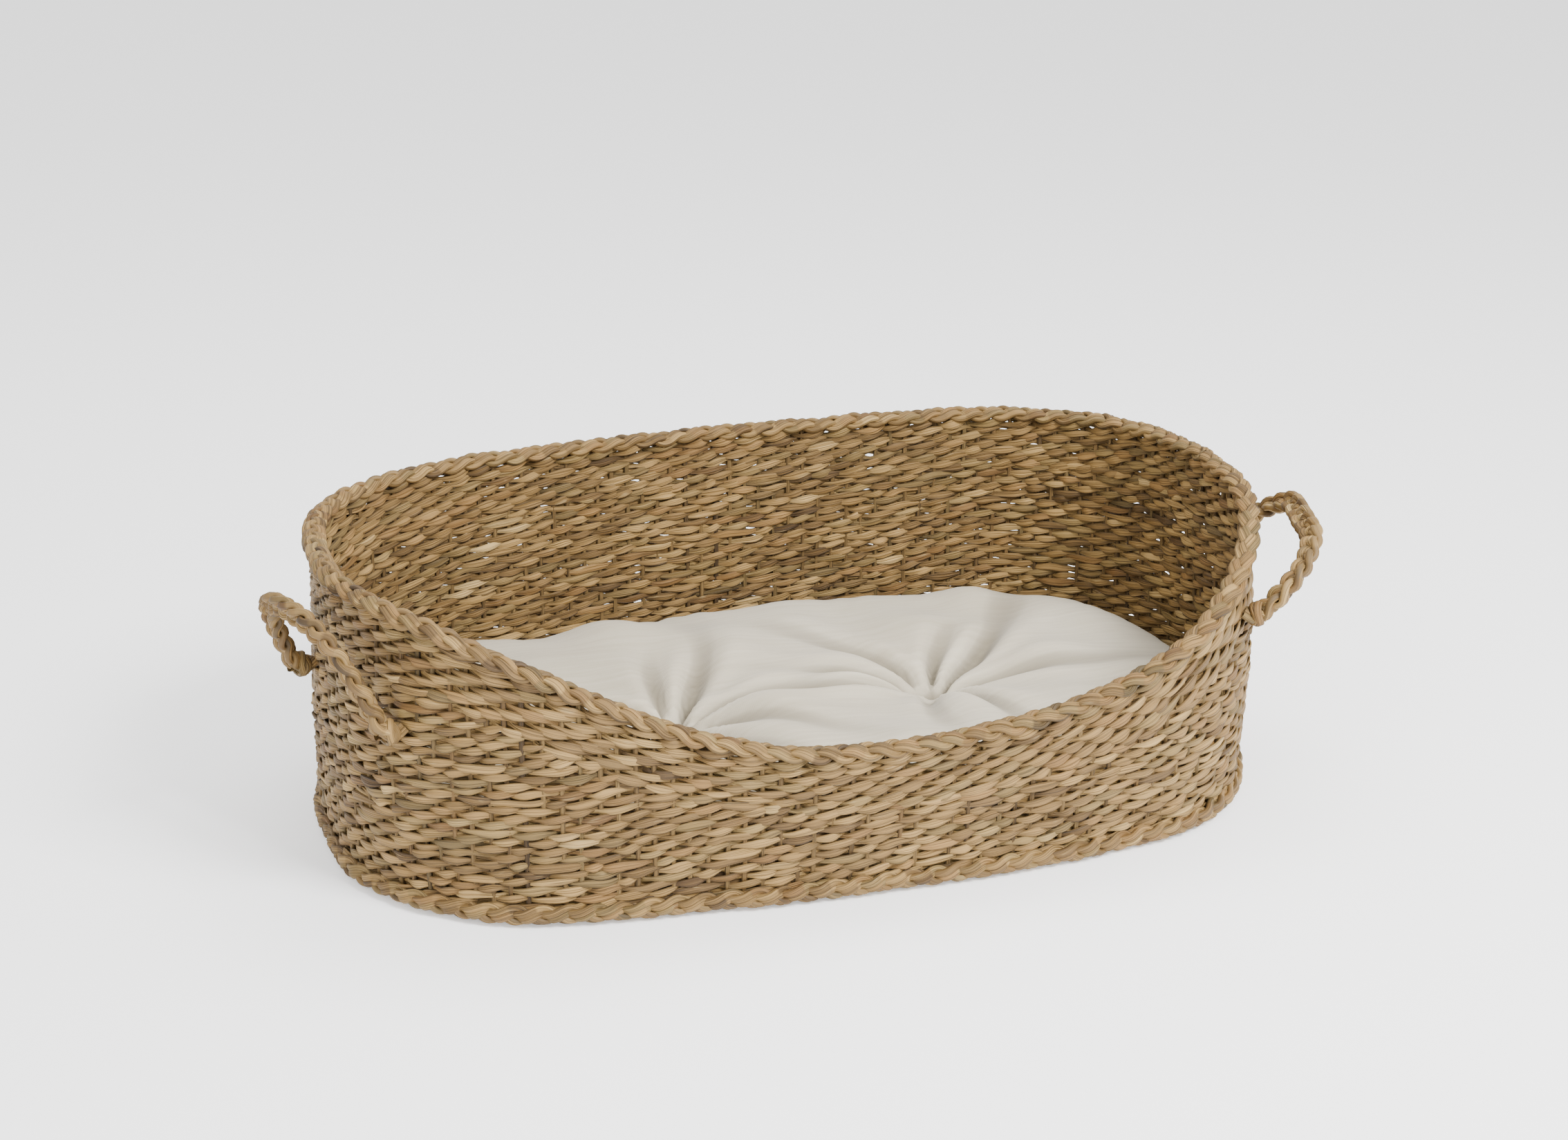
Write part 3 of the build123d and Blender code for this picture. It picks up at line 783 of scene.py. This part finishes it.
def cushion_top(x, y):
    """Rise and fall of the upper face, in mm, away from its edge rounding."""
    z = 10 * (1 - (x / 340) ** 2) * (1 - (y / 200) ** 2)
    relief = 0 * x
    for angle, span, phase, size in LUMPS:
        z = z + size * np.sin(2 * np.pi * (x * np.cos(angle) + y * np.sin(angle)) / span + phase)
    for (tx, ty), long_ones, short_ones in zip(TUFTS, LONG_FOLDS, SHORT_FOLDS):
        px, py = x - tx, y - ty
        r = np.hypot(px, py)
        z = z - DIMPLE * np.exp(-((r / 34) ** 1.1)) - HOLLOW * np.exp(-((r / 95) ** 2))
        for k, (angle, length, depth) in enumerate(list(long_ones) + list(short_ones)):
            narrow = 3.4 if k < len(long_ones) else 1.8
            bend = np.radians(angle) + 0.35 * np.sin(k * 2.3) * r / 150
            along = px * np.cos(bend) + py * np.sin(bend)
            across = -px * np.sin(bend) + py * np.cos(bend)
            relief = relief + fold(along, across, length, 1.7 * depth, narrow)
    return z + np.clip(relief, -12, 4.5), relief


def cushion_mesh():
    """The whole cushion as rings from the middle of its top to the middle of its underside."""
    around = CUSHION_AROUND
    s = np.linspace(0, ROUND, around, endpoint=False)
    x, y, nx, ny = plan(s)
    shift = WALL_MIDDLE - CUSHION_INSET
    x, y = x + nx * shift, y + ny * shift
    reach = x * nx + y * ny
    pucker = sum(np.sin(2 * np.pi * s / span + phase) for span, phase in PUCKERS) / 2.2
    rings, painted_fold_shading = [], []
    # from the middle of the top out to the seam, then back to the middle of the underside
    top = [(True, max(1 - (i / TOP_RINGS) ** 1.25, 0.004)) for i in range(TOP_RINGS, -1, -1)]
    under = [(False, (i / UNDER_RINGS) ** 0.8) for i in range(UNDER_RINGS - 1, 0, -1)]
    for above, f in top + under:
        edge = (1 - f) * reach
        full = (1 - (1 - np.clip(edge / (TOP_ROUND if above else UNDER_ROUND), 0, 1)) ** 2.5) ** (1 / 2.5)
        px, py = x * f, y * f
        if above:
            rise, relief = cushion_top(px, py)
            z = SEAM + CROWN * full + rise * full + 0.9 * pucker * np.exp(-edge / 22) * full**0.3
        else:
            relief = 0 * px
            z = SEAM - UNDER * full - 0.5 * pucker * np.exp(-edge / 15) * full**0.3
        slack = 0.8 * pucker * np.exp(-edge / 10)
        rings.append(np.stack([px + nx * slack, py + ny * slack, np.maximum(z, CUSHION_FLOOR)], -1))
        # relief stored for the cotton's painted shade in the fold valleys and painted highlight on the ridges
        painted_fold_shading.append(np.clip(0.5 + relief / 12, 0, 1))
    verts = np.concatenate(rings) * MM
    n = len(rings)
    i = (np.arange(n - 1) * around)[:, None]
    j = np.arange(around)[None, :]
    k = (j + 1) % around
    quads = np.stack([i + j, i + around + j, i + around + k, i + k], -1).reshape(-1, 4)
    faces = [tuple(q) for q in quads.tolist()]
    faces.append(tuple(range(around)))
    faces.append(tuple(range((n - 1) * around, n * around))[::-1])
    mesh = bpy.data.meshes.new("cushion")
    mesh.from_pydata(verts.tolist(), [], faces)
    mesh.polygons.foreach_set("use_smooth", np.ones(len(mesh.polygons), bool))
    relief = mesh.attributes.new("relief", "FLOAT", "POINT")
    relief.data.foreach_set("value", np.concatenate(painted_fold_shading).astype(np.float32))
    obj = bpy.data.objects.new("cushion", mesh)
    bpy.context.scene.collection.objects.link(obj)
    return obj


cushion = cushion_mesh()
cushion.data.materials.append(COTTON)
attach(cushion, "cushion")
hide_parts("cushion_cover", "cushion_filling")
ties = Batch()
for tx, ty in TUFTS:
    z = SEAM + CROWN + float(cushion_top(np.array(tx), np.array(ty))[0]) + 0.6
    for turn in (0.5, 2.0):
        t = np.linspace(-1, 1, 9)
        line = np.stack([tx + 4 * t * np.cos(turn), ty + 4 * t * np.sin(turn), z + 1.2 - 1.6 * t**2], -1)
        ties.strand(line, np.tile([0.0, 0, 1], (9, 1)), 1.4, 1.1, 0.5, 0.5, 8, 0.0, 0.0, 1.0, 0.0)
obj = ties.build("cushion_tuft_stitches", COTTON, "cushion", "thread")
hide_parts("cushion_tufts")

# ---------------------------------------------------------------- floor, light, camera
bpy.ops.mesh.primitive_plane_add(size=14, location=(0, 0, -0.0005))
floor = bpy.context.object
floor.name = "floor"
mat, nodes, links, bsdf = material("floor")
bsdf.inputs["Base Color"].default_value = (0.93, 0.93, 0.93, 1)
bsdf.inputs["Emission Color"].default_value = (1, 1, 1, 1)
bsdf.inputs["Emission Strength"].default_value = 0.5
bsdf.inputs["Roughness"].default_value = 0.9
floor.data.materials.append(mat)
floor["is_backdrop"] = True

world = bpy.data.worlds.new("studio")
bpy.context.scene.world = world
world.use_nodes = True
world.node_tree.nodes["Background"].inputs[0].default_value = (1, 1, 1, 1)
world.node_tree.nodes["Background"].inputs[1].default_value = 1.35


def area(name, place, aim, size, power):
    """A soft lamp that looks at aim."""
    data = bpy.data.lights.new(name, "AREA")
    data.shape, data.size, data.size_y, data.energy = "RECTANGLE", size[0], size[1], power
    lamp = bpy.data.objects.new(name, data)
    lamp.location = place
    lamp.rotation_euler = (Vector(aim) - Vector(place)).to_track_quat("-Z", "Y").to_euler()
    bpy.context.scene.collection.objects.link(lamp)
    lamp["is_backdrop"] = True


area("key", (0.9, -1.7, 1.9), (0, 0, 0.1), (0.9, 0.9), 135)
area("fill", (-1.8, -1.6, 1.6), (0, 0, 0.1), (1.6, 1.2), 20)
area("top", (0.2, 0.6, 2.4), (0, 0, 0.1), (1.6, 1.2), 30)

YAW, PITCH_DOWN, DISTANCE = 0.303, 0.337, 2.0547
AIM_SIDE, AIM_HEIGHT = -0.0007, 0.1616
camera = bpy.data.cameras.new("camera")
camera.sensor_width = 36
camera.lens = 61.9
camera.shift_y = 0.010
cam = bpy.data.objects.new("camera", camera)
bpy.context.scene.collection.objects.link(cam)
c, s = math.cos(YAW), math.sin(YAW)
turned = (AIM_SIDE, -DISTANCE * math.cos(PITCH_DOWN), AIM_HEIGHT + DISTANCE * math.sin(PITCH_DOWN))
cam.location = (c * turned[0] + s * turned[1], -s * turned[0] + c * turned[1], turned[2])
aim = Vector((c * AIM_SIDE, -s * AIM_SIDE, AIM_HEIGHT))
cam.rotation_euler = (aim - Vector(cam.location)).to_track_quat("-Z", "Y").to_euler()
bpy.context.scene.camera = cam
cam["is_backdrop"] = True

bounds_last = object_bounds()
plain = lambda b: [[float(x) for x in p] for p in b]
{"first": plain(bounds_first), "last": plain(bounds_last)}
